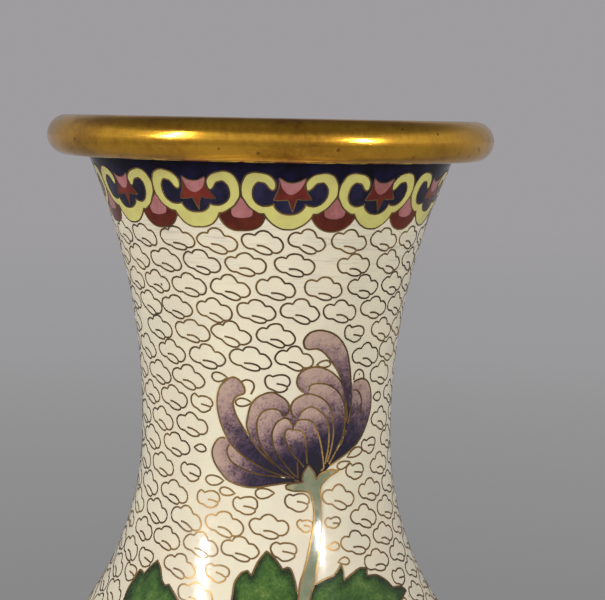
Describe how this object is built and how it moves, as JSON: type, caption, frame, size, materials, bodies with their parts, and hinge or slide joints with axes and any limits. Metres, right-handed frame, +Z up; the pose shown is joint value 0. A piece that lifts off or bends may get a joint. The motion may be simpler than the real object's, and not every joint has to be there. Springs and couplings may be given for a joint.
{
  "type": "cloisonne vase",
  "caption": "Tall flared-neck cloisonne vase with a full belly, gilt mouth and foot rings, cloud-wire ground, scrolled collar and chrysanthemum sprays in enamel.",
  "frame": {"origin": "centre of the foot ring's resting plane, on the vase's axis", "axes": "+Z up along the vase's axis, -Y towards the decorated front"},
  "size_m": [0.124, 0.1241, 0.25],
  "materials": {
    "copper": "satin, spun copper",
    "gilt": "worn gilding, half polished",
    "gilt_wire": "darkened gilt wire, polished flush",
    "lining": "glossy counter-enamel",
    "ivory": "glossy enamel",
    "navy": "glossy enamel",
    "yellow": "glossy enamel",
    "red": "glossy enamel",
    "pink": "glossy enamel",
    "violet": "glossy enamel, lilac tips to indigo base",
    "stem_green": "glossy enamel",
    "leaf_green": "glossy mottled enamel"
  },
  "bodies": {
    "root": {"neck_shell": "copper", "shoulder_shell": "copper", "lower_shell": "copper", "base_plate": "copper", "mouth_ring": "gilt", "foot_ring": "gilt", "inner_lining": "lining", "base_enamel": "lining", "ground_enamel": "ivory", "collar_enamel": "navy", "head_enamel": "yellow", "head_cells": "navy", "star_red": "red", "star_pink": "pink", "pendant_red": "red", "pendant_pink": "pink", "petal_enamel": "violet", "stem_enamel": "stem_green", "leaf_enamel": "leaf_green", "border_enamel": "navy", "border_lappets": "yellow", "head_wires": "gilt_wire", "star_wires": "gilt_wire", "pendant_wires": "gilt_wire", "petal_wires": "gilt_wire", "stem_wires": "gilt_wire", "leaf_wires": "gilt_wire", "border_wires": "gilt_wire", "cloud_wires": "gilt_wire"}
  },
  "joints": []
}
